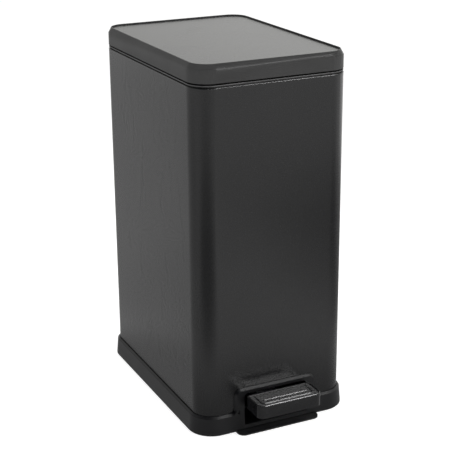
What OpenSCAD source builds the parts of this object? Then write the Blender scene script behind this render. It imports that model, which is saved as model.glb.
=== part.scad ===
// Rectangular pedal trash can: a painted steel shell on a moulded base, a hinged soft-closing lid,
// a lift-out liner, and a pedal lever that raises the lid through a push rod behind the liner.
// Millimetres. +Z is up, -Y is the pedal side, and the origin is the bottom centre of the whole can.

/* [Shell] */
// Height from the floor to the top of the closed lid
can_h = 610; // [590:5:650]
// Width of the steel shell
shell_w = 266; // [256:2:290]
// Depth of the steel shell
shell_d = 389; // [381:2:411]
// Outside radius of the shell's upright corners
shell_r = 35; // [33:1:38]
// Thickness of the shell's sheet steel
sheet_t = 0.8; // [0.6:0.1:1]

/* [Lid] */
// Height of the lid's rim, from its lower edge to its top
lid_h = 29; // [28:1:32]
// Height of the chamfer round the lid's top
chamfer_h = 9; // [7:0.5:10]
// Width of that chamfer
chamfer_w = 5; // [4:0.5:6]
// Angle the lid opens
lid_swing = 78; // [70:1:80]

/* [Base] */
// Height of the base moulding round the foot of the shell
base_h = 34; // [31:0.5:35]
// How far the base stands out past the shell
base_out = 7; // [6.5:0.5:8]
// Half the width of the arch that frames the pedal
arch_x = 74; // [73:1:80]
// Height of the arch's top
arch_z = 75; // [74:1:78]
// How far the tread under the pedal reaches in front of the shell
tread_reach = 24; // [20:0.5:26]

/* [Pedal] */
// Width of the pedal
pedal_w = 115; // [108:1:118]
// Depth of the pedal
pedal_d = 47; // [44:1:50]
// Height of the pedal's moulding
pedal_h = 21.5; // [18:0.5:24]
// Height of the pedal's top above the floor when it is up
pedal_z = 66; // [65:0.5:67]
// Gap from the shell's front to the pedal's back
pedal_gap = 12.5; // [12:0.5:16]

/* [Linkage] */
// How far the push rod rises
rod_lift = 34; // [30:1:34]
// Diameter of the push rod
rod_d = 6; // [5:0.5:6]
// Distance from the shell's centre forward to the lever's axle
axle_forward = 30; // [20:1:40]
// Height of the lever's axle
axle_z = 30; // [29:0.5:31]

/* [Liner] */
// Height of the liner's underside
liner_z = 76; // [74:1:90]
// Thickness of the liner's wall
liner_t = 2.2; // [2:0.1:3]

/* [Hidden] */
$fn = 64;
slack = 0.3;                                  // between pieces that move past each other
running = 0.06;                               // radial clearance of a shaft that turns or slides

hx = shell_w / 2;
hy = shell_d / 2;
lid_z = can_h - lid_h;                        // the lid's lower edge
collar_z = lid_z - 2;                         // the collar's top
shell_z = lid_z - 6.5;                        // the shell's rolled top edge
sill_z = 10.5;                                // bottom of the window that the lever passes
seat_z = 14;                                  // the shell stands here, on the base's shelf
pan_z = 3.5;
pan_t = 2.5;
pan_top = pan_z + pan_t;

hinge_y = hy + 8;                             // lid hinge axis
hinge_z = collar_z - 8;
barrel_r = 6.5;
hinge_pin_r = 3;
hinge_back = hy + 17.5;                       // the hinge cover's outer face
crank_r = rod_lift / 2 / sin(lid_swing / 2);
crank_y = hinge_y - crank_r * cos(lid_swing / 2);
crank_z = hinge_z - rod_lift / 2;
crank_pin_r = 2.5;
crank_normal = 4.8 * [crank_z - hinge_z, hinge_y - crank_y] / crank_r;
rod_y = hinge_y - crank_r * (1 + cos(lid_swing / 2)) / 2;

axle_y = -axle_forward;
axle_r = 4;
lever_pin_r = 2.5;
lever_arm = rod_y - axle_y;
lever_pin_z = axle_z - rod_lift / 2;
lever_x = 18;                                 // half the lever's width

pedal_back = -(hy + pedal_gap);
pedal_front = pedal_back - pedal_d;
plate_top = pedal_z - 7.1;                    // top of the lever's plate, under the pedal
body_y = (-pedal_front - hinge_back) / 2;     // puts the whole can's middle on the origin

bay_y = 150;                                  // front of the deck over the rod's bay
cover_y = 160;                                // front of the cover in front of the rod
liner_front = -(hy - 9.5);
liner_back = bay_y + 3;
liner_y = (liner_front + liner_back) / 2;
liner_hy = (liner_back - liner_front) / 2;
liner_hx = hx - 9.5;

guide_zs = [120, 420];
guide_h = 12;
spring_top = guide_zs[1];
spring_len = 90;
damper_x = 30;
damper_z = 190;
damper_len = 95;
yoke_z = 297;

lid_x = hx;
lid_y = hy;
lid_r = shell_r;
panel_drop = 2.3;                             // the panel lies this far below the lid's rim
plate_z = can_h - 5.4;                        // underside of the lid frame's top plate
bracket_z = plate_z - 7;                      // top of the hinge bracket's plate
arm_x = 33;                                   // inner face of the lid's hinge arms
arm_t = 3;

foot_places = [[-1, -1], [1, -1], [-1, 1], [1, 1]];

black = [0.10, 0.10, 0.11];
plastic = [0.13, 0.13, 0.13];
liner_grey = [0.22, 0.22, 0.23];
steel = [0.72, 0.73, 0.75];
rubber = [0.06, 0.06, 0.06];
nylon = [0.85, 0.85, 0.80];

// ---- shapes that repeat ----

module round_rect(half_x, half_y, r) {
    square([2 * (half_x - r), 2 * half_y], center = true);
    square([2 * half_x, 2 * (half_y - r)], center = true);
    for (sx = [-1, 1], sy = [-1, 1])
        translate([sx * (half_x - r), sy * (half_y - r)]) circle(r);
}

// Carries a profile round a rounded rectangle: x is the distance outside that outline, y is height.
module carry_round(half_x, half_y, r) {
    for (side = [0, 180]) {
        rotate(side) translate([half_x, 0, 0]) rotate([90, 0, 0])
            linear_extrude(2 * (half_y - r), center = true) children();
        rotate(side + 90) translate([half_y, 0, 0]) rotate([90, 0, 0])
            linear_extrude(2 * (half_x - r), center = true) children();
    }
    for (q = [0:3])
        translate([(q == 0 || q == 3 ? 1 : -1) * (half_x - r), (q < 2 ? 1 : -1) * (half_y - r), 0])
            rotate(90 * q) rotate_extrude(angle = 90) translate([r, 0]) children();
}

module slab(half_x, half_y, r, z0, z1) {
    translate([0, 0, z0]) linear_extrude(z1 - z0) round_rect(half_x, half_y, r);
}

// A box from its two corners.
module box(low, high) {
    translate(low) cube(high - low);
}

// A cylinder along X between x0 and x1, at a place given as [y, z].
module rod_x(at, r, x0, x1) {
    translate([x0, at[0], at[1]]) rotate([0, 90, 0]) cylinder(h = x1 - x0, r = r);
}

// A profile in Y and Z, as thick as x1 - x0.
module side_plate(x0, x1) {
    translate([x0, 0, 0]) rotate([90, 0, 90]) linear_extrude(x1 - x0) children();
}

// A profile in X and Z, as deep as y1 - y0.
module front_plate(y0, y1) {
    translate([0, y1, 0]) rotate([90, 0, 0]) linear_extrude(y1 - y0) children();
}

// A pan-head screw with its shank pointing up from z = 0, and the head below.
module screw_up(shank_r, shank_l, head_r, head_h) {
    difference() {
        union() {
            cylinder(h = shank_l, r = shank_r);
            translate([0, 0, -head_h]) cylinder(h = head_h, r = head_r);
        }
        for (turn = [0, 90])
            rotate(turn) translate([0, 0, -head_h]) cube([head_r * 1.2, 0.8, head_h], center = true);
    }
}

// A strip with round ends, half_l long and half_h high.
module slot(half_l, half_h) {
    square([2 * (half_l - half_h), 2 * half_h], center = true);
    for (s = [-1, 1]) translate([s * (half_l - half_h), 0]) circle(half_h);
}

// Where each repeated fastener goes.
function base_screw_places() = [
    for (sx = [-1, 1], y = [-hy + 62, 0, hy - 62]) [sx * (hx - 2.5), y]
];
function bracket_screw_places() = [for (sx = [-1, 1], sy = [-1, 1]) [sx * 26, axle_y + sy * 14]];
function hinge_screw_places() = [for (sx = [-1, 1], z = [hinge_z - 29, hinge_z - 16]) [sx * 26, z]];
function lid_screw_places() = [for (sx = [-1, 1], y = [hy - 65, hy - 35]) [sx * 22, y]];
function lid_bumper_places() = [for (sx = [-1, 1], sy = [-1, 1]) [sx * (hx - 5.5), sy * (hy - 60)]];

// ---- shell, collar and base ----

module outer_shell() {
    color(black) difference() {
        union() {
            translate([0, 0, seat_z]) linear_extrude(shell_z - 1.2 - seat_z) difference() {
                round_rect(hx, hy, shell_r);
                round_rect(hx - sheet_t, hy - sheet_t, shell_r - sheet_t);
            }
            carry_round(hx, hy, shell_r) translate([-1, shell_z - 1.2]) circle(1.2);
            box([-75, hy - 0.4, base_h + 1], [-68, hy + 0.6, shell_z - 3]);
        }
        front_plate(-hy - 5, -hy + 5) pedal_window(2, 2);
        box([-9, hy - 10, crank_z - 11], [9, hy + 10, shell_z + 1]);
        for (p = hinge_screw_places())
            translate([p[0], hy - 5, p[1]]) rotate([-90, 0, 0]) cylinder(h = 10, r = 2.2);
    }
}

// The window that the lever passes through, grown sideways and upwards.
module pedal_window(grow_x, grow_z) {
    half = arch_x - 17 + grow_x;
    top = arch_z - 9 + grow_z;
    translate([-half, sill_z]) square([2 * half, top - sill_z - 6]);
    translate([-half + 6, top - 6]) square([2 * half - 12, 6]);
    for (s = [-1, 1]) translate([s * (half - 6), top - 6]) circle(6);
}

module top_collar() {
    z = collar_z;
    color(plastic) difference() {
        union() {
            carry_round(hx, hy, shell_r) polygon([
                [-1.1, z - 29], [-1.1, z - 9.5], [-2.8, z - 7.5], [-2.8, z - 2.6], [-0.7, z - 2.4],
                [-0.3, z - 2], [-0.3, z - 0.9], [-0.7, z - 0.5], [-3.2, z - 0.5], [-3.6, z],
                [-8.5, z], [-8.5, z - 10], [-13, z - 10],
                [-13, z - 12.5], [-4.8, z - 12.5], [-3.6, z - 29]
            ]);
            intersection() {
                slab(hx - 8, hy - 4, shell_r - 8, z - 12.5, z - 10);
                box([-hx, bay_y, 0], [hx, hy, can_h]);
            }
        }
        box([-12.5, rod_y - 12, z - 13], [12.5, hy - 4, z - 9]);
        box([-53, hy - 6, z - 30], [53, hy, z - 17.5]);
        box([-9, hy - 12, crank_z - 11], [9, hy, z + 1]);
    }
}

module base_ring() {
    color(plastic) difference() {
        union() {
            carry_round(hx, hy, shell_r) polygon([
                [base_out - 1.6, 1], [base_out, 2.6], [4.6, base_h - 3.5], [1.2, base_h],
                [0.7, base_h], [0.7, base_h - 12], [0.25, seat_z + 4], [0.25, seat_z],
                [-6, seat_z], [-6, seat_z - 2.5], [2, seat_z - 2.5], [3.9, 1]
            ]);
            arch();
            for (p = base_screw_places())
                translate([p[0], p[1], pan_top]) cylinder(h = seat_z - 1 - pan_top, r = 4);
        }
        front_plate(-hy - 12, -hy + 8) pedal_window(0, 0);
        box([-arch_x - slack, -hy - 12, 0], [arch_x + slack, -hy + 4, 4.5]);
        for (p = base_screw_places())
            translate([p[0], p[1], pan_top - 1]) cylinder(h = 6.5, r = 1.5);
    }
}

// The raised frame round the pedal's window. Its sloped border carries on from the ring's shoulder,
// up through a fillet at each leg and round the two top corners.
module arch() {
    r = 12;
    fillet = 8;
    band = 8;
    low = pan_top + slack;
    leg = arch_z - r - base_h - fillet;
    fill_x = arch_x - band + 0.1;
    translate([0, -hy, 0]) rotate([90, 0, 0]) {
        translate([0, 0, 0.3]) linear_extrude(4.3)
            translate([-fill_x, low]) square([2 * fill_x, arch_z - band + 0.1 - low]);
        translate([0, arch_z, 0]) rotate(-90) arch_edge(2 * (arch_x - r), band);
        for (side = [0, 1]) mirror([side, 0, 0]) {
            translate([-arch_x, base_h + fillet + leg / 2, 0]) arch_edge(leg, band);
            translate([-arch_x + r, arch_z - r, 0]) rotate(90) rotate_extrude(angle = 90)
                translate([r, 0]) mirror([1, 0]) arch_profile(band);
            translate([-arch_x - fillet, base_h + fillet, 0]) rotate(-90) rotate_extrude(angle = 90)
                translate([fillet, 0]) arch_profile(band);
        }
    }
}

// Across the border: x runs inward from the outline, and y stands out from the shell.
module arch_profile(band) {
    polygon([[0, 0.3], [0, 1.2], [3.5, 4.6], [band, 4.6], [band, 0.3]]);
}

module arch_edge(length, band) {
    rotate([90, 0, 0]) linear_extrude(length, center = true) arch_profile(band);
}

module floor_pan() {
    color(plastic) difference() {
        union() {
            slab(hx + 2.2, hy + 2.2, shell_r + 2.2, pan_z, pan_top);
            tread();
            for (y = [-hy + 55, 50, 110])
                box([-80, y - 2, pan_top - 0.1], [80, y + 2, pan_top + (y < 0 ? 4 : 1.5)]);
        }
        for (p = base_screw_places())
            translate([p[0], p[1], 0]) cylinder(h = 20, r = 2);
        for (p = bracket_screw_places())
            translate([p[0], p[1], 0]) cylinder(h = 20, r = 2);
        for (p = foot_places)
            translate([p[0] * (hx - 24), p[1] * (hy - 28), 0]) cylinder(h = 20, r = 4);
        for (x = [-90, 90])
            translate([x, 0, pan_z - 1]) linear_extrude(1.9) rotate(90) slot(110, 5);
        for (y = [-120, 120])
            translate([0, y, pan_z - 1]) linear_extrude(1.9) slot(60, 5);
    }
}

// The wide lip under the pedal, which keeps the can from tipping. A low rim runs round its edge.
module tread() {
    low = 1.2;
    high = 4.2;
    rim = 2.2;
    tread_plan(-hy - tread_reach, -hy + 30, arch_x, 12, low, high - 0.9);
    difference() {
        tread_plan(-hy - tread_reach, -hy + 30, arch_x, 12, low, high);
        tread_plan(-hy - tread_reach + rim, -hy - 2.5, arch_x - rim, 9, high - 0.9, high + 1);
    }
}

// A slab with its two front corners rounded.
module tread_plan(front, back, half, r, z0, z1) {
    translate([0, 0, z0]) linear_extrude(z1 - z0) {
        translate([-half, front + r]) square([2 * half, back - front - r]);
        translate([-half + r, front]) square([2 * (half - r), r]);
        for (s = [-1, 1]) translate([s * (half - r), front + r]) circle(r);
    }
}

module foot(i) {
    at = foot_places[i];
    color(rubber) translate([at[0] * (hx - 24), at[1] * (hy - 28), 0]) {
        cylinder(h = pan_z, r = 10);
        cylinder(h = pan_top + 2, r = 3.9);
        translate([0, 0, pan_top]) cylinder(h = 1.2, r = 5.5);
    }
}

module base_screws() {
    color(steel) {
        for (p = base_screw_places())
            translate([p[0], p[1], pan_z - 0.1]) screw_up(1.4, 8, 3.4, 1.6);
        for (p = bracket_screw_places())
            translate([p[0], p[1], pan_z - 0.1]) screw_up(1.4, 9, 3.4, 1.6);
    }
}

// ---- lever and pedal ----

module axle_bracket(side) {
    x0 = side * 26 - 4;
    color(plastic) difference() {
        union() {
            side_plate(x0, x0 + 8) {
                translate([axle_y, axle_z]) circle(9);
                polygon([
                    [axle_y - 19, pan_top], [axle_y + 19, pan_top], [axle_y + 19, pan_top + 4],
                    [axle_y + 8, axle_z], [axle_y - 8, axle_z], [axle_y - 19, pan_top + 4]
                ]);
            }
        }
        rod_x([axle_y, axle_z], axle_r + running, x0 - 1, x0 + 9);
        for (sy = [-1, 1])
            translate([side * 26, axle_y + sy * 14, pan_top - 1]) cylinder(h = 9, r = 1.5);
    }
}

module pedal_axle() {
    color(steel) difference() {
        rod_x([axle_y, axle_z], axle_r, -34, 34);
        for (s = [-1, 1]) difference() {
            rod_x([axle_y, axle_z], axle_r + 1, s * 31.6 - 0.6, s * 31.6 + 0.6);
            rod_x([axle_y, axle_z], axle_r - 1, s * 31.6 - 1, s * 31.6 + 1);
        }
    }
}

module axle_clips() {
    color(steel) for (s = [-1, 1]) difference() {
        rod_x([axle_y, axle_z], axle_r + 3, s * 31.6 - 0.5, s * 31.6 + 0.5);
        rod_x([axle_y, axle_z], axle_r - 0.95, s * 31.6 - 1, s * 31.6 + 1);
        box([s * 31.6 - 1, axle_y - 2.5, axle_z - 9], [s * 31.6 + 1, axle_y + 2.5, axle_z]);
    }
}

// The lever seen from the side. Lowered by drop, it is what is hollowed out of the channel.
module lever_side(drop) {
    rear = rod_y;
    translate([0, -drop]) {
        polygon([
            [rear, lever_pin_z - 6], [rear, lever_pin_z + 6], [axle_y + 12, axle_z + 8],
            [axle_y - 12, axle_z + 8], [-hy + 8, axle_z + 15], [pedal_back + 4, plate_top],
            [pedal_back - 20, plate_top], [pedal_back - 20, plate_top - 2],
            [pedal_back, pedal_z - 21], [-hy + 8, axle_z + 6],
            [axle_y - 12, axle_z - 8], [axle_y + 12, axle_z - 8]
        ]);
        translate([rear, lever_pin_z]) circle(6);
    }
}

module pedal_lever() {
    color(steel) difference() {
        union() {
            difference() {
                side_plate(-lever_x, lever_x) lever_side(0);
                side_plate(-lever_x + 2, lever_x - 2) lever_side(2);
                box([-lever_x + 2, 0, -1], [lever_x - 2, rod_y + 9, axle_z - 14]);
                box([-lever_x + 2, pedal_back - 30, 0], [lever_x - 2, pedal_back - 2, plate_top - 2]);
                box([-lever_x + 2, rod_y - 18, 0], [lever_x - 2, rod_y + 9, axle_z + 9]);
            }
            box([-46, pedal_front + 5, plate_top - 2], [46, pedal_back - 5, plate_top]);
        }
        rod_x([axle_y, axle_z], 6, -lever_x - 1, lever_x + 1);
        rod_x([rod_y, lever_pin_z], lever_pin_r, -lever_x - 1, lever_x + 1);
        for (s = [-1, 1])
            translate([s * 34, (pedal_front + pedal_back) / 2, plate_top - 3]) cylinder(h = 4, r = 2);
    }
}

module lever_bush(side) {
    x_in = side > 0 ? lever_x - 3.5 : -lever_x - 3.2;
    x_flange = side > 0 ? lever_x + 0.1 : -lever_x - 3.2;
    color(nylon) difference() {
        union() {
            rod_x([axle_y, axle_z], 5.95, x_in, x_in + 6.7);
            rod_x([axle_y, axle_z], 8, x_flange, x_flange + 3.1);
        }
        rod_x([axle_y, axle_z], axle_r + running, -lever_x - 8, lever_x + 8);
    }
}

module lever_pin() {
    color(steel) {
        rod_x([rod_y, lever_pin_z], lever_pin_r - 0.02, -lever_x - 2, lever_x + 2);
        for (s = [-1, 1])
            rod_x([rod_y, lever_pin_z], 4, s * (lever_x + 1.1) - 1, s * (lever_x + 1.1) + 1);
    }
}

// The pedal's outline seen from above, drawn in by inset.
module pedal_plan(inset) {
    half = pedal_w / 2 - inset;
    r_front = max(12 - inset, 1);
    r_back = max(4 - inset, 1);
    front = pedal_front + inset;
    back = pedal_back - inset;
    translate([-half, front + r_front]) square([2 * half, back - front - r_front - r_back]);
    translate([-half + r_front, front]) square([2 * (half - r_front), r_front]);
    translate([-half + r_back, back - r_back]) square([2 * (half - r_back), r_back]);
    for (s = [-1, 1]) {
        translate([s * (half - r_front), front + r_front]) circle(r_front);
        translate([s * (half - r_back), back - r_back]) circle(r_back);
    }
}

module pedal_shell() {
    color(black) difference() {
        translate([0, 0, pedal_z - pedal_h]) linear_extrude(pedal_h) pedal_plan(0);
        translate([0, 0, pedal_z - pedal_h - 1]) linear_extrude(pedal_h - 6) pedal_plan(2.4);
        translate([0, 0, pedal_z - 1.6]) linear_extrude(4) pedal_plan(2.2);
        box(
            [-lever_x - 1.5, pedal_back - 8, pedal_z - pedal_h - 1],
            [lever_x + 1.5, pedal_back + 1, pedal_z - 7]
        );
        for (s = [-1, 1])
            translate([s * 34, (pedal_front + pedal_back) / 2, pedal_z - 12]) cylinder(h = 8.5, r = 1.5);
    }
}

// The grip let into the pedal: a raised border on three sides, and a ribbed strip behind the front one.
module pedal_tread() {
    strip_y = pedal_front + 8;
    color(rubber) {
        difference() {
            translate([0, 0, pedal_z - 1.5]) linear_extrude(1.7) pedal_plan(3);
            translate([0, 0, pedal_z - 0.4]) linear_extrude(2) pedal_plan(5);
        }
        box([-44, strip_y + 6, pedal_z - 0.6], [44, strip_y + 7.2, pedal_z + 0.1]);
        for (x = [-42:4:42])
            box([x - 0.6, strip_y + 0.5, pedal_z - 0.6], [x + 0.6, strip_y + 5, pedal_z - 0.1]);
    }
}

module pedal_screws() {
    color(steel) for (s = [-1, 1])
        translate([s * 34, (pedal_front + pedal_back) / 2, plate_top - 2.1]) screw_up(1.4, 5, 3.2, 1.5);
}

// ---- hinge ----

module hinge_block() {
    y0 = hy + 0.2;
    color(plastic) difference() {
        union() {
            box([-46, y0, hinge_z - 36], [46, y0 + 2.5, hinge_z - 1]);
            for (s = [-1, 1]) side_plate(s * 42.5 - 3, s * 42.5 + 3) {
                translate([hinge_y, hinge_z]) circle(6.5);
                polygon([
                    [y0, hinge_z - 36], [y0 + 3, hinge_z - 36], [hinge_y + 6.5, hinge_z - 10],
                    [hinge_y + 6.5, hinge_z], [y0, hinge_z], [y0, hinge_z - 20]
                ]);
            }
        }
        rod_x([hinge_y, hinge_z], hinge_pin_r, -60, 60);
        rod_x([hinge_y, hinge_z], barrel_r + 1, -39.5, 39.5);
        box([-10, y0 - 1, crank_z - 12], [10, y0 + 4, hinge_z]);
        for (p = hinge_screw_places())
            translate([p[0], y0 - 1, p[1]]) rotate([-90, 0, 0]) cylinder(h = 5, r = 1.5);
    }
}

module hinge_cover_plan(inset) {
    half = 52 - inset;
    depth = hinge_back - hy - 0.2 - inset;
    translate([-half, 0]) square([2 * half, depth - 8 + inset]);
    translate([-half + 8 - inset, 0]) square([2 * (half - 8 + inset), depth]);
    for (s = [-1, 1]) translate([s * (half - 8 + inset), depth - 8 + inset]) circle(8 - inset);
}

module hinge_cover() {
    z0 = hinge_z - 44;
    z1 = hinge_z + 5.5;
    color(plastic) difference() {
        translate([0, hy + 0.2, z0]) linear_extrude(z1 - z0) hinge_cover_plan(0);
        translate([0, hy + 0.1, z0 + 2]) linear_extrude(z1 - z0) hinge_cover_plan(1.8);
        side_plate(-60, 60)
            polygon([[hy + 8, z0 - 1], [hinge_back + 1, z0 - 1], [hinge_back + 1, z0 + 14]]);
        for (s = [-1, 1])
            translate([s * (arm_x + arm_t / 2), 0, 0])
                box([-2.5, hinge_back - 3, hinge_z - 8], [2.5, hinge_back + 1, z1 + 1]);
    }
    color(plastic) side_plate(-48, 48) polygon([
        [hy + 3, z0 + 1], [hy + 9.5, z0 + 1], [hinge_back - 0.4, z0 + 12], [hinge_back - 0.4, z0 + 15],
        [hinge_back - 2.2, z0 + 15], [hinge_back - 2.2, z0 + 12.8], [hy + 8.6, z0 + 2.9], [hy + 3, z0 + 2.9]
    ]);
}

module hinge_pin() {
    color(steel) rod_x([hinge_y, hinge_z], hinge_pin_r - 0.02, -47.5, 47.5);
}

module hinge_backplate() {
    y1 = hy - sheet_t - 0.1;
    color(steel) difference() {
        box([-38, y1 - 1.5, hinge_z - 35], [38, y1, hinge_z - 10.5]);
        box([-10, y1 - 3, crank_z - 12], [10, y1 + 1, hinge_z]);
        for (p = hinge_screw_places())
            translate([p[0], y1 - 3, p[1]]) rotate([-90, 0, 0]) cylinder(h = 5, r = 2);
    }
}

module hinge_screws() {
    color(steel) for (p = hinge_screw_places())
        translate([p[0], hy - sheet_t - 1.7, p[1]]) rotate([-90, 0, 0]) screw_up(1.4, 5, 3.2, 1.4);
}

// ---- push rod bay ----

module mechanism_cover() {
    back = hy - sheet_t - 0.1;
    color(plastic) difference() {
        translate([0, 0, 62]) linear_extrude(hinge_z - 10 - 62) difference() {
            translate([-52, cover_y]) square([104, back - cover_y]);
            translate([-50.6, cover_y + 1.4]) square([101.2, back - cover_y]);
        }
        for (z = guide_zs, s = [-1, 1])
            translate([s * 9, cover_y - 1, z + guide_h / 2]) rotate([-90, 0, 0]) cylinder(h = 4, r = 1.8);
    }
}

module rod_guide(i) {
    z = guide_zs[i];
    y0 = cover_y + 1.5;
    color(nylon) difference() {
        box([-15, y0, z], [15, hy - sheet_t - 0.2, z + guide_h]);
        translate([0, rod_y, z - 1]) cylinder(h = guide_h + 2, r = rod_d / 2 + running);
        for (s = [-1, 1])
            translate([s * 9, y0 - 1, z + guide_h / 2]) rotate([-90, 0, 0]) cylinder(h = 9, r = 1.5);
    }
}

module guide_screws() {
    color(steel) for (z = guide_zs, s = [-1, 1])
        translate([s * 9, cover_y - 0.1, z + guide_h / 2]) rotate([-90, 0, 0]) screw_up(1.4, 8, 3.2, 1.4);
}

module damper_cylinder() {
    top = damper_z + damper_len;
    color(steel) translate([damper_x, rod_y, 0]) difference() {
        translate([0, 0, damper_z]) cylinder(h = damper_len, r = 8);
        translate([0, 0, damper_z + 4]) cylinder(h = damper_len - 9, r = 6.5);
        translate([0, 0, top - 6]) cylinder(h = 8, r = 2.5 + running);
    }
}

module damper_clip() {
    y1 = hy - sheet_t - 0.2;
    color(nylon) difference() {
        box([damper_x - 11, cover_y + 1.5, damper_z + 20], [damper_x + 11, y1, damper_z + 34]);
        translate([damper_x, rod_y, damper_z]) cylinder(h = 60, r = 8.05);
    }
}

module push_rod() {
    color(steel) translate([0, rod_y, lever_pin_z + 9])
        cylinder(h = crank_z - 13 - lever_pin_z - 9, r = rod_d / 2);
}

// The clevis at the rod's top. Its slots let the lid's crank pin swing forward and back.
module rod_fork() {
    color(steel) difference() {
        union() {
            box([-8.6, rod_y - 8, crank_z - 23], [8.6, rod_y + 5, crank_z - 12]);
            for (s = [-1, 1]) side_plate(s * 6.1 - 2.5, s * 6.1 + 2.5) {
                translate([rod_y - 8, crank_z - 23]) square([13, 18]);
                translate([rod_y, crank_z]) slot(9.5, 7);
            }
        }
        side_plate(-10, 10) translate([rod_y, crank_z]) slot(crank_pin_r + 3.7, crank_pin_r + 0.9);
        translate([0, rod_y, crank_z - 30]) cylinder(h = 25, r = rod_d / 2 + 0.02);
    }
}

// The block at the rod's foot, with a slot that the lever's pin lifts.
module rod_foot() {
    color(steel) difference() {
        union() {
            box([-8, rod_y - 6.5, lever_pin_z], [8, rod_y + 6.5, lever_pin_z + 28]);
            side_plate(-8, 8) translate([rod_y, lever_pin_z]) slot(6.5, 6);
        }
        side_plate(-10, 10) translate([rod_y, lever_pin_z]) slot(lever_pin_r + 1.2, lever_pin_r + 0.35);
        translate([0, rod_y, lever_pin_z + 8]) cylinder(h = 30, r = rod_d / 2 + 0.02);
    }
}

module rod_collar() {
    z = spring_top - spring_len;
    color(steel) translate([0, rod_y, z - 4]) difference() {
        cylinder(h = 4, r = 8);
        translate([0, 0, -1]) cylinder(h = 6, r = rod_d / 2 + 0.02);
    }
}

module damper_piston() {
    color(steel) translate([damper_x, rod_y, 0]) {
        translate([0, 0, damper_z + 12]) cylinder(h = 8, r = 6.5 - running);
        translate([0, 0, damper_z + 12]) cylinder(h = yoke_z + 9 - damper_z - 12, r = 2.5);
        translate([0, 0, yoke_z + 6.1]) cylinder(h = 2.4, r = 4.5);
    }
}

module damper_yoke() {
    color(steel) difference() {
        translate([0, rod_y, yoke_z]) linear_extrude(6) {
            circle(8);
            translate([damper_x, 0]) circle(7);
            translate([0, -5]) square([damper_x, 10]);
        }
        translate([0, rod_y, yoke_z - 1]) cylinder(h = 8, r = rod_d / 2 + 0.02);
        translate([damper_x, rod_y, yoke_z - 1]) cylinder(h = 8, r = 2.52);
    }
}

// A compression spring swept along its helix. The rings at both ends lie flat.
spring_turns = 9;
spring_r = 6.2;
spring_wire = 0.8;
spring_steps = spring_turns * 18;
wire_sides = 6;

function coil_z(t) = let (flat = 0.08) spring_top - spring_len + spring_wire + 0.1
    + (spring_len - 2 * spring_wire - 0.2) * (t < flat ? 0.02 * t / flat
        : t > 1 - flat ? 1 - 0.02 * (1 - t) / flat
        : 0.02 + 0.96 * (t - flat) / (1 - 2 * flat));

function coil_ring(i) = let (t = i / spring_steps, a = 360 * spring_turns * t)
    [for (k = [0:wire_sides - 1]) let (b = 360 * k / wire_sides, r = spring_r + spring_wire * cos(b))
        [r * cos(a), rod_y + r * sin(a), coil_z(t) + spring_wire * sin(b)]];

module return_spring() {
    n = wire_sides;
    last = spring_steps * n;
    points = [for (i = [0:spring_steps]) each coil_ring(i)];
    sides = [for (i = [0:spring_steps - 1], k = [0:n - 1], half = [0, 1])
        let (a = i * n + k, b = i * n + (k + 1) % n)
            half == 0 ? [a, a + n, b + n] : [a, b + n, b]];
    ends = [[for (k = [0:n - 1]) k], [for (k = [n - 1:-1:0]) last + k]];
    color(steel) polyhedron(points, concat(sides, ends));
}

// ---- lid ----

module lid_frame() {
    z = can_h;
    bed_z = z - panel_drop - 1.9;
    color(black) difference() {
        union() {
            carry_round(lid_x, lid_y, lid_r) polygon([
                [0, lid_z], [0, z - chamfer_h], [-chamfer_w, z], [-chamfer_w - 1.2, z],
                [-chamfer_w - 1.2, bed_z], [-14, bed_z], [-14, plate_z], [-chamfer_w - 1, plate_z],
                [-2.4, z - chamfer_h - 2.5], [-2.4, lid_z]
            ]);
            slab(lid_x - 13, lid_y - 13, lid_r - 13, plate_z, bed_z);
            for (p = lid_screw_places())
                translate([p[0], p[1], bracket_z]) cylinder(h = plate_z - bracket_z + 0.5, r = 4.5);
            for (sx = [-1, 1], sy = [-1, 0, 1])
                translate([sx * (hx - 45), sy * (hy - 60), lid_z + 13])
                    cylinder(h = plate_z - lid_z - 12.5, r = 4);
        }
        for (s = [-1, 1])
            box([s * 34.5 - 5, lid_y - 6, lid_z - 1], [s * 34.5 + 5, lid_y + 1, plate_z - 6.6]);
        for (p = lid_screw_places())
            translate([p[0], p[1], bracket_z - 1]) cylinder(h = 7, r = 1.5);
    }
}

module lid_panel() {
    inset = chamfer_w + 1.4;
    top = can_h - panel_drop;
    color(black) slab(lid_x - inset, lid_y - inset, lid_r - inset, top - 1.8, top);
}

// The moulding that closes the lid's underside, with a raised middle and room for the bracket.
module lid_liner() {
    z = lid_z;
    color(liner_grey) difference() {
        union() {
            carry_round(lid_x, lid_y, lid_r) polygon([
                [-2.7, z + 2.5], [-2.7, z + 14], [-4.7, z + 14], [-4.7, z + 5], [-18, z + 5],
                [-24, z + 12.5], [-30, z + 12.5], [-30, z + 10.5], [-23, z + 10.5], [-17, z + 2.5]
            ]);
            slab(lid_x - 29, lid_y - 29, lid_r - 29, z + 10.5, z + 12.5);
        }
        box([-44, hy - 80, z], [44, lid_y, z + 16]);
    }
}

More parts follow.
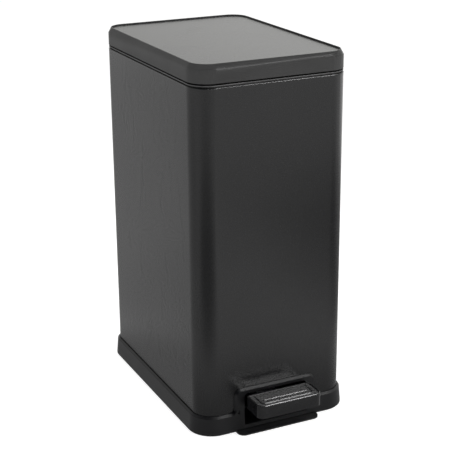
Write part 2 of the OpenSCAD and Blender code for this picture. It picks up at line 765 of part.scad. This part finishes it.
module lid_bracket() {
    color(steel) difference() {
        union() {
            box([-arm_x - arm_t, hy - 75, bracket_z - 2.5], [arm_x + arm_t, hy - 12, bracket_z]);
            for (x = [-arm_x - arm_t, arm_x]) side_plate(x, x + arm_t) {
                polygon([
                    [hy - 75, bracket_z], [hy - 75, bracket_z - 4], [hy - 50, collar_z + 4],
                    [hy - 10, collar_z + 1.6], [hy + 1.6, collar_z + 1.6], [hinge_y - barrel_r, hinge_z],
                    [hinge_y + barrel_r, hinge_z], [hinge_y + barrel_r, hinge_z + 6], [hy + 1, bracket_z]
                ]);
                translate([hinge_y, hinge_z]) circle(barrel_r);
            }
            rod_x([hinge_y, hinge_z], barrel_r, -arm_x - arm_t, arm_x + arm_t);
            side_plate(-3, 3) {
                polygon(concat(
                    [for (s = [-1, 1]) [hinge_y, hinge_z] + s * crank_normal],
                    [for (s = [1, -1]) [crank_y, crank_z] + s * crank_normal]
                ));
                translate([crank_y, crank_z]) circle(5.5);
            }
        }
        rod_x([hinge_y, hinge_z], hinge_pin_r + running, -60, 60);
        rod_x([crank_y, crank_z], crank_pin_r, -10, 10);
        for (p = lid_screw_places())
            translate([p[0], p[1], bracket_z - 5]) cylinder(h = 9, r = 2);
    }
}

module crank_pin() {
    color(steel) {
        rod_x([crank_y, crank_z], crank_pin_r - 0.02, -10.5, 10.5);
        for (s = [-1, 1]) rod_x([crank_y, crank_z], 4.2, s * 10 - 0.8, s * 10 + 0.8);
    }
}

module lid_bumpers() {
    color(rubber) for (p = lid_bumper_places()) translate([p[0], p[1], collar_z + slack]) {
        cylinder(h = lid_z + 2.5 - collar_z - slack, r = 2.5);
    }
}

module lid_screws() {
    color(steel) for (p = lid_screw_places())
        translate([p[0], p[1], bracket_z - 2.6]) screw_up(1.4, 8, 3.4, 1.6);
}

// ---- liner ----

module inner_bucket() {
    rim_z = collar_z - 10 + slack;
    lip = -5.2;
    foot = lip - 8;
    color(liner_grey) difference() {
        union() {
            translate([0, liner_y, 0]) carry_round(liner_hx, liner_hy, 27) polygon([
                [foot, liner_z], [lip, rim_z], [0, rim_z], [0, rim_z + 3], [lip - liner_t, rim_z + 3],
                [foot - liner_t, liner_z + 2.6], [foot - liner_t, liner_z]
            ]);
            translate([0, liner_y, 0])
                slab(liner_hx + foot - 1, liner_hy + foot - 1, 26 + foot, liner_z, liner_z + 2.6);
        }
        side_plate(-liner_hx - 5, liner_hx + 5)
            translate([liner_y, collar_z - 45]) slot(46, 11);
    }
}

// ---- the whole can ----

// Moves a piece from the shell's middle to the whole can's middle.
module placed() {
    translate([0, body_y, 0]) children();
}

placed() outer_shell();
placed() top_collar();
placed() base_ring();
placed() floor_pan();
placed() foot(0);  // foot_front_left
placed() foot(1);  // foot_front_right
placed() foot(2);  // foot_back_left
placed() foot(3);  // foot_back_right
placed() base_screws();
placed() axle_bracket(-1);  // axle_bracket_left
placed() axle_bracket(1);  // axle_bracket_right
placed() pedal_axle();
placed() axle_clips();
placed() pedal_lever();
placed() lever_bush(-1);  // lever_bush_left
placed() lever_bush(1);  // lever_bush_right
placed() lever_pin();
placed() pedal_shell();
placed() pedal_tread();
placed() pedal_screws();
placed() hinge_block();
placed() hinge_cover();
placed() hinge_pin();
placed() hinge_backplate();
placed() hinge_screws();
placed() mechanism_cover();
placed() rod_guide(0);  // rod_guide_lower
placed() rod_guide(1);  // rod_guide_upper
placed() guide_screws();
placed() damper_cylinder();
placed() damper_clip();
placed() damper_piston();
placed() damper_yoke();
placed() push_rod();
placed() rod_fork();
placed() rod_foot();
placed() rod_collar();
placed() return_spring();
placed() lid_frame();
placed() lid_panel();
placed() lid_liner();
placed() lid_bracket();
placed() crank_pin();
placed() lid_bumpers();
placed() lid_screws();
placed() inner_bucket();
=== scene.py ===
"""Looks for the pedal trash can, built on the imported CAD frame. Metres; +Z up; -Y is the pedal side."""

import math

import bmesh
import bpy
from mathutils import Euler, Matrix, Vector


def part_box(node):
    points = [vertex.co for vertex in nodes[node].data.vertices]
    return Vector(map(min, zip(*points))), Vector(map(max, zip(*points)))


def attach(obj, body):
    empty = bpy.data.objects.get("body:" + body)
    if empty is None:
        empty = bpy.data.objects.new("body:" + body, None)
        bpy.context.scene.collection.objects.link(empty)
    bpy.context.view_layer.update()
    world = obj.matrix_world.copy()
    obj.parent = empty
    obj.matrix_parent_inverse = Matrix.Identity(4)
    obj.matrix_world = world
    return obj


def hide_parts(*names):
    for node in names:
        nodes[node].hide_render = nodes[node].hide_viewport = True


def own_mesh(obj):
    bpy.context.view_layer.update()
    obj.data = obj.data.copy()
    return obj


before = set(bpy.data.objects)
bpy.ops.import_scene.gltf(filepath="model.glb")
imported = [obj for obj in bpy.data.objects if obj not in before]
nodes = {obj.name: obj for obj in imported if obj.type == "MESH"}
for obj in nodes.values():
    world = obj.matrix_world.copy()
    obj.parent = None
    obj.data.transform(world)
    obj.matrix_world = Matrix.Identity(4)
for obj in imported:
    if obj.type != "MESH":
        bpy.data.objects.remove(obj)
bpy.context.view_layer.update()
scene = bpy.context.scene
scene.view_settings.view_transform = "Standard"


# ---------------------------------------------------------------- materials

class Finish:
    """A Principled material whose colour, roughness and bump come from nodes in object space."""

    def __init__(self, name, metallic=0.0, specular=0.5):
        self.mat = bpy.data.materials.new(name)
        self.mat.use_nodes = True
        self.tree = self.mat.node_tree
        self.bsdf = self.tree.nodes["Principled BSDF"]
        self.bsdf.inputs["Metallic"].default_value = metallic
        self.bsdf.inputs["IOR"].default_value = 1.5
        self.bsdf.inputs["Specular IOR Level"].default_value = specular
        self.place = self.add("ShaderNodeTexCoord").outputs["Object"]
        self.height = None

    def add(self, kind, **settings):
        made = self.tree.nodes.new(kind)
        for key, value in settings.items():
            setattr(made, key, value)
        return made

    def link(self, source, target):
        self.tree.links.new(source, target)

    def stretched(self, scale):
        node = self.add("ShaderNodeMapping")
        node.inputs["Scale"].default_value = scale
        self.link(self.place, node.inputs["Vector"])
        return node.outputs["Vector"]

    def noise(self, scale, detail=3.0, rough=0.5, stretch=None, twist=0.0):
        node = self.add("ShaderNodeTexNoise")
        node.inputs["Scale"].default_value = scale
        node.inputs["Detail"].default_value = detail
        node.inputs["Roughness"].default_value = rough
        node.inputs["Distortion"].default_value = twist
        self.link(self.stretched(stretch) if stretch else self.place, node.inputs["Vector"])
        return node.outputs["Fac"]

    def cells(self, scale, feature="F1", stretch=None):
        node = self.add("ShaderNodeTexVoronoi", feature=feature)
        node.inputs["Scale"].default_value = scale
        self.link(self.stretched(stretch) if stretch else self.place, node.inputs["Vector"])
        return node.outputs["Distance"]

    def span(self, value, low, high, to_low=0.0, to_high=1.0):
        node = self.add("ShaderNodeMapRange")
        node.inputs["From Min"].default_value = low
        node.inputs["From Max"].default_value = high
        node.inputs["To Min"].default_value = to_low
        node.inputs["To Max"].default_value = to_high
        self.link(value, node.inputs["Value"])
        return node.outputs["Result"]

    def math(self, operation, a, b):
        node = self.add("ShaderNodeMath", operation=operation)
        for socket, value in zip(node.inputs, (a, b)):
            if isinstance(value, (int, float)):
                socket.default_value = value
            else:
                self.link(value, socket)
        return node.outputs["Value"]

    def axis(self, name):
        node = self.add("ShaderNodeSeparateXYZ")
        self.link(self.place, node.inputs["Vector"])
        return node.outputs[name]

    def mix(self, fac, a, b):
        node = self.add("ShaderNodeMix", data_type="RGBA")
        if isinstance(fac, (int, float)):
            node.inputs["Factor"].default_value = fac
        else:
            self.link(fac, node.inputs["Factor"])
        for socket, value in ((node.inputs[6], a), (node.inputs[7], b)):
            if isinstance(value, tuple):
                socket.default_value = (*value, 1.0)
            else:
                self.link(value, socket)
        return node.outputs[2]

    def colour(self, value):
        self.link(value, self.bsdf.inputs["Base Color"])
        return self

    def roughness(self, value):
        self.link(value, self.bsdf.inputs["Roughness"])
        return self

    def relief(self, value, depth, strength=1.0):
        """Adds one layer of bump, depth in metres, on top of those before it."""
        node = self.add("ShaderNodeBump")
        node.inputs["Strength"].default_value = strength
        node.inputs["Distance"].default_value = depth
        self.link(value, node.inputs["Height"])
        if self.height is not None:
            self.link(self.height, node.inputs["Normal"])
        self.height = node.outputs["Normal"]
        self.link(self.height, self.bsdf.inputs["Normal"])
        return self


def powder_coat(name, tone, rough, specular, wave):
    """Satin black paint on sheet steel: fine orange peel, slow waves of the sheet, faint rubbed marks."""
    f = Finish(name, specular=specular)
    dark = tuple(0.82 * c for c in tone)
    light = tuple(1.2 * c for c in tone)
    blotch = f.noise(7, 3, 0.55)
    f.colour(f.mix(f.span(blotch, 0.3, 0.7), dark, light))
    fine = f.noise(900, 2, 0.6)
    rubbed = f.span(f.noise(14, 6, 0.7, stretch=(1, 1, 0.35), twist=0.6), 0.55, 0.8, 0.0, 0.035)
    base = f.span(fine, 0.3, 0.7, rough - 0.03, rough + 0.03)
    f.roughness(f.math("ADD", base, rubbed))
    f.relief(f.noise(2.2, 2, 0.4), wave, 0.25)
    f.relief(f.noise(620, 2, 0.55), 0.00003, 0.4)
    return f.mat


def moulding(name, tone, rough, grain=1500, depth=0.00004, specular=0.5):
    """Injection-moulded plastic: spark-eroded grain, slow flow marks, slightly polished high spots."""
    f = Finish(name, specular=specular)
    dark = tuple(0.8 * c for c in tone)
    light = tuple(1.25 * c for c in tone)
    flow = f.noise(11, 4, 0.6, stretch=(1, 1, 0.4), twist=0.8)
    f.colour(f.mix(f.span(flow, 0.3, 0.7), dark, light))
    pits = f.cells(grain)
    worn = f.span(f.noise(38, 5, 0.65), 0.5, 0.75, 0.0, -0.04)
    f.roughness(f.math("ADD", f.span(pits, 0.1, 0.7, rough - 0.04, rough + 0.05), worn))
    f.relief(flow, 0.00008, 0.12)
    f.relief(pits, depth, 0.6)
    return f.mat


def moulding_with_painted_shade(name, tone, bead_painted_highlight_tone, bead_low, bead_high):
    """Black moulding painted near-black outside two heights as painted shade in the gaps, and paler between
    them as a painted highlight on the proud bead.
    """
    f = Finish(name, specular=0.3)
    height = f.axis("Z")
    bead = f.math("MULTIPLY", f.math("GREATER_THAN", height, bead_low),
                  f.math("LESS_THAN", height, bead_high))
    flow = f.span(f.noise(11, 4, 0.6, stretch=(1, 1, 0.4), twist=0.8), 0.3, 0.7, 0.85, 1.0)
    # Painted shade in the grooves and a painted highlight on the bead, chosen by height alone
    f.colour(f.mix(f.math("MULTIPLY", bead, flow), tone, bead_painted_highlight_tone))
    pits = f.cells(1500)
    f.roughness(f.span(pits, 0.1, 0.7, 0.4, 0.48))
    f.relief(pits, 0.00003, 0.5)
    return f.mat


def gloss_moulding(name, tone, rough, specular):
    """Polished plastic with hairline scratches from shoes and a trace of dust."""
    f = Finish(name, specular=specular)
    dust = f.span(f.noise(230, 5, 0.75), 0.52, 0.72)
    f.colour(f.mix(dust, tone, tuple(1.6 * c + 0.004 for c in tone)))
    scratch = f.span(f.noise(90, 3, 0.6, stretch=(1, 14, 1), twist=0.3), 0.56, 0.66)
    f.roughness(f.math("ADD", f.span(dust, 0, 1, rough, rough + 0.1), f.math("MULTIPLY", scratch, 0.05)))
    f.relief(scratch, 0.00001, 0.25)
    f.relief(f.noise(60, 2, 0.5), 0.00004, 0.12)
    return f.mat


def rubber(name, tone):
    """Matt rubber: fine sandy skin, and paler where it has been rubbed."""
    f = Finish(name, specular=0.35)
    scuff = f.span(f.noise(120, 6, 0.7), 0.5, 0.72)
    f.colour(f.mix(scuff, tone, tuple(2.1 * c for c in tone)))
    skin = f.noise(2400, 3, 0.6)
    f.roughness(f.span(skin, 0.3, 0.7, 0.62, 0.82))
    f.relief(skin, 0.00008, 0.6)
    return f.mat


def plated(name, tone, rough, stretch=(1, 1, 1)):
    """Zinc-plated or ground steel: drawn lines along one axis, clouded plating, tiny pits."""
    f = Finish(name, metallic=1.0)
    cloud = f.noise(45, 5, 0.65, twist=0.5)
    f.colour(f.mix(f.span(cloud, 0.3, 0.75), tuple(0.72 * c for c in tone), tone))
    lines = f.noise(420, 4, 0.6, stretch=stretch)
    f.roughness(f.math("ADD", f.span(lines, 0.3, 0.7, rough - 0.07, rough + 0.07),
                       f.span(cloud, 0.4, 0.8, 0.0, 0.1)))
    f.relief(lines, 0.00004, 0.35)
    return f.mat


def nylon(name):
    """Natural nylon: milky, with a waxy surface and fine mould lines."""
    f = Finish(name, specular=0.45)
    f.bsdf.inputs["Subsurface Weight"].default_value = 0.12
    f.bsdf.inputs["Subsurface Scale"].default_value = 0.002
    cloud = f.noise(60, 4, 0.6)
    f.colour(f.mix(f.span(cloud, 0.3, 0.7), (0.62, 0.60, 0.52), (0.76, 0.75, 0.68)))
    f.roughness(f.span(f.noise(900, 2, 0.5), 0.3, 0.7, 0.36, 0.48))
    f.relief(f.noise(500, 3, 0.5, stretch=(1, 1, 4)), 0.00004, 0.4)
    return f.mat


SHELL = powder_coat("shell_paint", (0.0056, 0.0056, 0.0059), 0.27, specular=0.33, wave=0.0005)
LID = powder_coat("lid_paint", (0.0450, 0.0450, 0.0450), 0.2, specular=0.02, wave=0.0004)
PANEL = powder_coat("panel_paint", (0.0080, 0.0080, 0.0080), 0.27, specular=0.35, wave=0.0003)
MOULDED = moulding("black_moulding", (0.0062, 0.0062, 0.0070), 0.36, specular=0.24)
COLLAR_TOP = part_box("top_collar")[1].z
# The collar's grooves get painted shade (0.003) and its bead a painted highlight (0.055)
COLLAR = moulding_with_painted_shade("collar_painted_shade_band", (0.003, 0.003, 0.003), (0.055, 0.055, 0.056),
                         COLLAR_TOP - 0.0023, COLLAR_TOP - 0.0006)
LINER = moulding("liner_moulding", (0.055, 0.055, 0.058), 0.5, grain=900, depth=0.00006)
PEDAL = gloss_moulding("pedal_gloss", (0.005, 0.005, 0.0055), 0.14, specular=0.3)
GRIP = gloss_moulding("grip_gloss", (0.014, 0.014, 0.0145), 0.14, specular=0.52)
RUBBER = rubber("black_rubber", (0.016, 0.016, 0.016))
ZINC = plated("zinc_plate", (0.62, 0.63, 0.66), 0.34)
BRIGHT = plated("ground_steel", (0.70, 0.71, 0.73), 0.24, stretch=(1, 1, 0.04))
BRIGHT_X = plated("ground_steel_across", (0.70, 0.71, 0.73), 0.24, stretch=(0.04, 1, 1))
DAMPER = plated("damper_black", (0.06, 0.06, 0.065), 0.36, stretch=(1, 1, 0.05))
NYLON = nylon("natural_nylon")

LOOK = {
    "outer_shell": (SHELL, 0.3), "top_collar": (COLLAR, 0.35), "base_ring": (MOULDED, 0.45),
    "floor_pan": (MOULDED, 0.5), "axle_bracket_left": (MOULDED, 0.4), "axle_bracket_right": (MOULDED, 0.4),
    "pedal_axle": (BRIGHT_X, 0.2), "axle_clips": (ZINC, 0.1), "base_screws": (ZINC, 0.2),
    "hinge_block": (MOULDED, 0.4), "hinge_cover": (MOULDED, 0.7), "hinge_pin": (BRIGHT_X, 0.2),
    "hinge_backplate": (ZINC, 0.25), "hinge_screws": (ZINC, 0.2), "mechanism_cover": (LINER, 0.4),
    "rod_guide_lower": (NYLON, 0.5), "rod_guide_upper": (NYLON, 0.5), "guide_screws": (ZINC, 0.2),
    "damper_cylinder": (DAMPER, 0.5), "damper_clip": (NYLON, 0.5), "return_spring": (BRIGHT, 0.0),
    "lid_frame": (LID, 0.5), "lid_panel": (PANEL, 0.35), "lid_liner": (LINER, 0.5),
    "lid_bracket": (ZINC, 0.3), "crank_pin": (BRIGHT_X, 0.3), "lid_bumpers": (RUBBER, 0.4),
    "lid_screws": (ZINC, 0.2), "push_rod": (BRIGHT, 0.3), "rod_fork": (ZINC, 0.4), "rod_foot": (ZINC, 0.4),
    "rod_collar": (ZINC, 0.3), "damper_piston": (BRIGHT, 0.2), "damper_yoke": (ZINC, 0.4),
    "pedal_lever": (ZINC, 0.35), "lever_bush_left": (NYLON, 0.2), "lever_bush_right": (NYLON, 0.2),
    "lever_pin": (BRIGHT_X, 0.3), "pedal_shell": (PEDAL, 1.1), "pedal_tread": (PEDAL, 0.15),
    "pedal_screws": (ZINC, 0.2), "inner_bucket": (LINER, 0.5),
    "foot_front_left": (RUBBER, 0.6), "foot_front_right": (RUBBER, 0.6),
    "foot_back_left": (RUBBER, 0.6), "foot_back_right": (RUBBER, 0.6),
}


def soften(obj, width_mm):
    """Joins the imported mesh's split edges, rounds its sharp ones and evens its normals."""
    weld = obj.modifiers.new("weld", "WELD")
    weld.merge_threshold = 1e-6
    if width_mm:
        bevel = obj.modifiers.new("bevel", "BEVEL")
        bevel.width = width_mm / 1000
        bevel.segments = 3
        bevel.limit_method = "ANGLE"
        bevel.angle_limit = math.radians(38)
        bevel.use_clamp_overlap = True
        bevel.harden_normals = False
    even = obj.modifiers.new("even", "WEIGHTED_NORMAL")
    even.mode = "FACE_AREA"
    even.keep_sharp = False


for name, obj in nodes.items():
    finish, width = LOOK[name]
    obj.data.materials.clear()
    obj.data.materials.append(finish)
    mesh = obj.data
    if "custom_normal" in mesh.attributes:
        mesh.attributes.remove(mesh.attributes["custom_normal"])
    mesh.shade_smooth()
    soften(obj, width)


# ---------------------------------------------------------------- pieces made here

def new_piece(name, bm, finish, body, bevel_mm=0.0):
    mesh = bpy.data.meshes.new(name)
    bmesh.ops.recalc_face_normals(bm, faces=bm.faces)
    bm.to_mesh(mesh)
    bm.free()
    mesh.materials.append(finish)
    mesh.shade_smooth()
    piece = bpy.data.objects.new(name, mesh)
    scene.collection.objects.link(piece)
    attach(piece, body)
    soften(piece, bevel_mm)
    return piece


def bridge(bm, first, second):
    """Joins two closed loops that have the same number of vertices."""
    count = len(first)
    for i in range(count):
        j = (i + 1) % count
        bm.faces.new((first[i], first[j], second[j], second[i]))


def smooth_step(value, low, high):
    t = min(max((value - low) / (high - low), 0.0), 1.0)
    return t * t * (3 - 2 * t)


MM = 0.001
PEDAL_R_FRONT = 12 * MM
PEDAL_R_BACK = 4 * MM


def pedal_loop(inset):
    """The pedal's outline from above, drawn in by inset, always with the same number of points.

    Past the first 3 mm the corners close more slowly than a true offset's, and the rear hardly moves.
    """
    low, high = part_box("pedal_shell")
    edge = min(inset, 3 * MM)
    further = inset - edge
    half = (high.x - low.x) / 2 - inset
    front, rear = low.y + inset, high.y - edge - 0.15 * further
    r_front = max(PEDAL_R_FRONT - edge - 0.45 * further, 0.5 * MM)
    r_back = max(PEDAL_R_BACK - edge - 0.45 * further, 0.5 * MM)
    corners = [(half - r_front, front + r_front, r_front, -90), (half - r_back, rear - r_back, r_back, 0),
               (-half + r_back, rear - r_back, r_back, 90), (-half + r_front, front + r_front, r_front, 180)]
    arcs = []
    for x, y, r, start in corners:
        turns = [math.radians(start + 90 * k / 10) for k in range(11)]
        arcs.append([(x + r * math.cos(t), y + r * math.sin(t)) for t in turns])
    points = []
    for arc, after, steps in zip(arcs, arcs[1:] + arcs[:1], (16, 40, 16, 40)):
        points += arc
        (x0, y0), (x1, y1) = arc[-1], after[0]
        points += [(x0 + (x1 - x0) * k / steps, y0 + (y1 - y0) * k / steps) for k in range(1, steps)]
    return points


def rounded_bar(bm, start, end, width, base, height):
    """A low bar with a rounded back and tapered ends, standing on the level base."""
    start, end = Vector(start), Vector(end)
    along = (end - start).normalized()
    across = Vector((-along.y, along.x))
    length = (end - start).length
    section = [(math.cos(math.radians(a)), math.sin(math.radians(a))) for a in range(0, 181, 20)]
    loops = []
    for place, scale in ((0.0, 0.35), (width * 0.35, 0.85), (width * 0.8, 1.0),
                         (length - width * 0.8, 1.0), (length - width * 0.35, 0.85), (length, 0.35)):
        loop = []
        for cosine, sine in section:
            flat = start + along * place + across * (cosine * width / 2 * scale)
            loop.append(bm.verts.new((flat.x, flat.y, base + sine * height * scale)))
        loops.append(loop)
    for first, second in zip(loops, loops[1:]):
        bridge(bm, first, second)
    bm.faces.new(loops[0])
    bm.faces.new(loops[-1])


def pedal_grip():
    """The moulded tread: a bead round the rim, a crest inside it, and slanted ribs between crest and bar."""
    shell_low, shell_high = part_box("pedal_shell")
    top = shell_high.z
    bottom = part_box("pedal_tread")[0].z
    floor = -0.8 * MM
    skirt = [(3.0, -1.0), (0.5, -1.0)]
    bead = [(0.2, -0.2), (0.25, 0.1), (0.7, 0.55), (1.3, 0.9), (1.8, 0.9), (2.3, 0.5), (2.8, -0.1),
            (3.3, -0.6), (3.9, -0.8)]
    crest = [(9.4, -0.8), (9.9, -0.4), (10.3, 0.2), (10.7, 0.55), (11.2, 0.55), (11.6, 0.2),
             (12.0, -0.4), (12.4, -0.8)]
    bm = bmesh.new()
    loops = [[bm.verts.new((x, y, bottom)) for x, y in pedal_loop(3.0 * MM)]]
    for inset, level in skirt + bead + crest:
        loop = []
        for x, y in pedal_loop(inset * MM):
            fade = smooth_step(shell_high.y - y, 5 * MM, 9 * MM)
            height = level * MM if level < -0.8 else floor + (level * MM - floor) * fade
            loop.append(bm.verts.new((x, y, top + height)))
        loops.append(loop)
    for first, second in zip(loops, loops[1:]):
        bridge(bm, first, second)
    bm.faces.new(loops[0])
    bm.faces.new(loops[-1])
    strip_front = shell_low.y + 12.8 * MM
    strip_back = strip_front + 7.0 * MM
    half = shell_high.x - 17 * MM
    base = top + floor - 0.1 * MM
    pitch, lean = 5.4 * MM, 5.0 * MM
    rib_width, rib_height = 2.3 * MM, 1.7 * MM
    bar_width, bar_height = 2.2 * MM, 1.6 * MM
    for k in range(int((2 * half - lean) / pitch)):
        x = -half + pitch * (k + 0.5)
        rounded_bar(bm, (x, strip_front), (x + lean, strip_back), rib_width, base, rib_height)
    bar_y = strip_back + 1.6 * MM
    rounded_bar(bm, (-half, bar_y), (half, bar_y), bar_width, base, bar_height)
    piece = new_piece("pedal_grip", bm, GRIP, "pedal")
    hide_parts("pedal_tread")


def rod_spring():
    """The return spring as wound wire, with its end coils closed up."""
    low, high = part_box("return_spring")
    wire = 0.8 * MM
    coils = 9
    steps = 30
    sides = 10
    centre = (low + high) / 2
    radius = (high.x - low.x) / 2 - wire
    height = high.z - low.z - 2 * wire
    closed = 1.2 / coils
    bm = bmesh.new()
    loops = []
    end_rise = 0.22
    open_rise = (1 - 2 * end_rise * closed) / (1 - 2 * closed)
    for i in range(coils * steps + 1):
        t = i / (coils * steps)
        middle = min(max(t - closed, 0.0), 1 - 2 * closed)
        rise = (min(t, closed) + max(t - 1 + closed, 0.0)) * end_rise + middle * open_rise
        turn = 2 * math.pi * coils * t
        loop = []
        for k in range(sides):
            a = 2 * math.pi * k / sides
            r = radius + wire * math.cos(a)
            z = low.z + wire + height * rise + wire * math.sin(a)
            loop.append(bm.verts.new((centre.x + r * math.cos(turn), centre.y + r * math.sin(turn), z)))
        loops.append(loop)
    for first, second in zip(loops, loops[1:]):
        bridge(bm, first, second)
    bm.faces.new(loops[0])
    bm.faces.new(loops[-1])
    piece = new_piece("wound_spring", bm, BRIGHT, "can_body")
    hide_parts("return_spring")
    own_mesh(piece)


pedal_grip()
rod_spring()


# ---------------------------------------------------------------- stage, light and camera

FLOOR_HALF = 14.0


def painted_dim_spot(f, x, y, near, far):
    """1 within near of a place on the floor, fading to 0 at far."""
    dx = f.math("SUBTRACT", f.axis("X"), x)
    dy = f.math("SUBTRACT", f.axis("Y"), y)
    reach = f.math("POWER", f.math("ADD", f.math("MULTIPLY", dx, dx), f.math("MULTIPLY", dy, dy)), 0.5)
    node = f.add("ShaderNodeMapRange", interpolation_type="SMOOTHSTEP")
    node.inputs["From Min"].default_value = far
    node.inputs["From Max"].default_value = near
    f.link(reach, node.inputs["Value"])
    return node.outputs["Result"]


def level_sheet(name, half, height, material):
    mesh = bpy.data.meshes.new(name)
    sheet = bpy.data.objects.new(name, mesh)
    scene.collection.objects.link(sheet)
    bm = bmesh.new()
    bmesh.ops.create_grid(bm, x_segments=8, y_segments=8, size=half)
    bm.to_mesh(mesh)
    bm.free()
    sheet.location.z = height
    mesh.materials.append(material)
    return sheet


def studio_floor():
    """A plain pale floor that is softly lit from below as well, so the can throws hardly any shadow."""
    f = Finish("pale_floor", specular=0.0)
    f.colour(f.mix(f.span(f.noise(3, 3, 0.5), 0.3, 0.7), (0.49, 0.49, 0.49), (0.51, 0.51, 0.51)))
    f.roughness(f.span(f.noise(40, 3, 0.5), 0.3, 0.7, 0.85, 0.95))
    f.bsdf.inputs["Emission Color"].default_value = (1, 1, 1, 1)
    f.bsdf.inputs["Emission Strength"].default_value = 0.8
    level_sheet("studio_floor", FLOOR_HALF, 0.0, f.mat)


def reflection_floor_painted_dim():
    """A glowing sheet only the gloss sees: the floor as glossy faces mirror it, with darker spots painted
    round the can as painted reflections instead of black flags.
    """
    f = Finish("reflection_floor_painted_dim", specular=0.0)
    f.bsdf.inputs["Base Color"].default_value = (0, 0, 0, 1)
    shade = 0.0
    # Dimmer spots painted into the glow: painted dark reflections, and the last one a painted contact shadow
    # round the can's foot
    for x, y, near, far, amount in ((-0.7, -0.95, 0.4, 0.9, 1.0), (0.98, -0.85, 0.3, 0.8, 1.1),
                                    (-1.0, 1.6, 1.3, 2.5, 0.58), (-0.5, 0.4, 0.2, 0.7, 0.66),
                                    (1.0, -0.05, 0.4, 0.95, 0.9), (0, 0, 0.25, 0.55, 0.8)):
        shade = f.math("MAXIMUM", shade, f.math("MULTIPLY", painted_dim_spot(f, x, y, near, far), amount))
    f.bsdf.inputs["Emission Color"].default_value = (1, 1, 1, 1)
    f.link(f.math("SUBTRACT", 1.25, shade), f.bsdf.inputs["Emission Strength"])
    sheet = level_sheet("reflection_floor_painted_dim", FLOOR_HALF, 0.0002, f.mat)
    sheet.visible_camera = sheet.visible_diffuse = sheet.visible_shadow = False


def backdrop():
    """A plain white surround that only the camera sees."""
    f = Finish("white_backdrop", specular=0.0)
    f.bsdf.inputs["Base Color"].default_value = (0, 0, 0, 1)
    f.bsdf.inputs["Emission Color"].default_value = (1, 1, 1, 1)
    f.bsdf.inputs["Emission Strength"].default_value = 1.1
    mesh = bpy.data.meshes.new("studio_backdrop")
    dome = bpy.data.objects.new("studio_backdrop", mesh)
    scene.collection.objects.link(dome)
    bm = bmesh.new()
    bmesh.ops.create_uvsphere(bm, u_segments=48, v_segments=24, radius=18)
    bm.to_mesh(mesh)
    bm.free()
    mesh.materials.append(f.mat)
    dome.visible_diffuse = dome.visible_glossy = dome.visible_shadow = False
    dome.visible_transmission = dome.visible_volume_scatter = False


def softbox(name, place, aim, size, watts, seen="both"):
    """A rectangular lamp. seen says whether it lights the matt part of surfaces, the gloss or both."""
    data = bpy.data.lights.new(name, "AREA")
    data.shape = "RECTANGLE"
    data.size, data.size_y = size
    data.energy = watts
    lamp = bpy.data.objects.new(name, data)
    lamp.location = place
    lamp.rotation_euler = (Vector(aim) - Vector(place)).to_track_quat("-Z", "Y").to_euler()
    lamp.visible_diffuse = seen != "glossy"
    lamp.visible_glossy = seen != "diffuse"
    scene.collection.objects.link(lamp)


def studio_world():
    """An even room with a bright wall behind the can, a dim ceiling, and the photographer's dark side."""
    world = bpy.data.worlds.new("studio")
    scene.world = world
    world.use_nodes = True
    tree = world.node_tree
    sky = tree.nodes["Background"]
    sky.inputs["Color"].default_value = (1, 1, 0.98, 1)
    direction = tree.nodes.new("ShaderNodeTexCoord").outputs["Generated"]

    def lobe(aim, low, high, amount):
        """amount, where the direction is within high of aim, fading to 0 at low (both as cosines)."""
        dot = tree.nodes.new("ShaderNodeVectorMath")
        dot.operation = "DOT_PRODUCT"
        dot.inputs[1].default_value = Vector(aim).normalized()
        tree.links.new(direction, dot.inputs[0])
        fade = tree.nodes.new("ShaderNodeMapRange")
        fade.interpolation_type = "SMOOTHSTEP"
        fade.inputs["From Min"].default_value = low
        fade.inputs["From Max"].default_value = high
        fade.inputs["To Max"].default_value = amount
        tree.links.new(dot.outputs["Value"], fade.inputs["Value"])
        return fade.outputs["Result"]

    def combine(operation, a, b):
        node = tree.nodes.new("ShaderNodeMath")
        node.operation = operation
        for socket, value in zip(node.inputs, (a, b)):
            if isinstance(value, float):
                socket.default_value = value
            else:
                tree.links.new(value, socket)
        return node.outputs["Value"]

    level = combine("ADD", 0.9, lobe((0.87, 0.5, 0.2), 0.7, 0.9, 0.35))
    level = combine("SUBTRACT", level, lobe((-0.43, -0.9, 0.5), 0.5, 1.0, 0.75))
    level = combine("SUBTRACT", level, lobe((-1, -0.1, 0.3), 0.2, 0.8, 0.5))
    ceiling = combine("SUBTRACT", 1.0, lobe((0, 0, 1), 0.68, 0.9, 0.75))
    tree.links.new(combine("MULTIPLY", level, ceiling), sky.inputs["Strength"])


studio_floor()
reflection_floor_painted_dim()
backdrop()
studio_world()
softbox("top_softbox", (0.0, 0.2, 2.2), (0, 0, 0.3), (0.9, 0.7), 14)
softbox("front_fill", (1.07, -2.4, 1.35), (0, -0.1, 0.45), (1.2, 0.8), 36, seen="diffuse")
softbox("left_fill", (-2.4, -0.2, 1.1), (0, 0, 0.4), (1.0, 0.8), 24, seen="diffuse")
softbox("edge_strip", (1.07, -2.35, 1.4), (0, -0.1, 0.45), (1.3, 0.25), 55, seen="glossy")
softbox("high_strip", (1.0, -0.45, 2.1), (0, -0.1, 0.3), (0.9, 0.6), 44, seen="glossy")

Y0 = (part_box("lid_frame")[0].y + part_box("lid_frame")[1].y) / 2
AZ, EL, ROLL, DIST = -0.4455, 0.3380, -0.0084, 2.1152
TARGET = Vector((0.0090, Y0, 0.2798))
SENSOR_MM = 36
FOCAL_WIDTHS = 1227.9 / 454
back = Vector((math.sin(AZ) * math.cos(EL), -math.cos(AZ) * math.cos(EL), math.sin(EL)))
cam_data = bpy.data.cameras.new("camera")
cam_data.sensor_width = SENSOR_MM
cam_data.lens = FOCAL_WIDTHS * SENSOR_MM
cam = bpy.data.objects.new("camera", cam_data)
cam.rotation_mode = "QUATERNION"
cam.location = TARGET + back * DIST
look = (-back).to_track_quat("-Z", "Y")
cam.rotation_quaternion = look @ Euler((0, 0, ROLL)).to_quaternion()
scene.collection.objects.link(cam)
scene.camera = cam
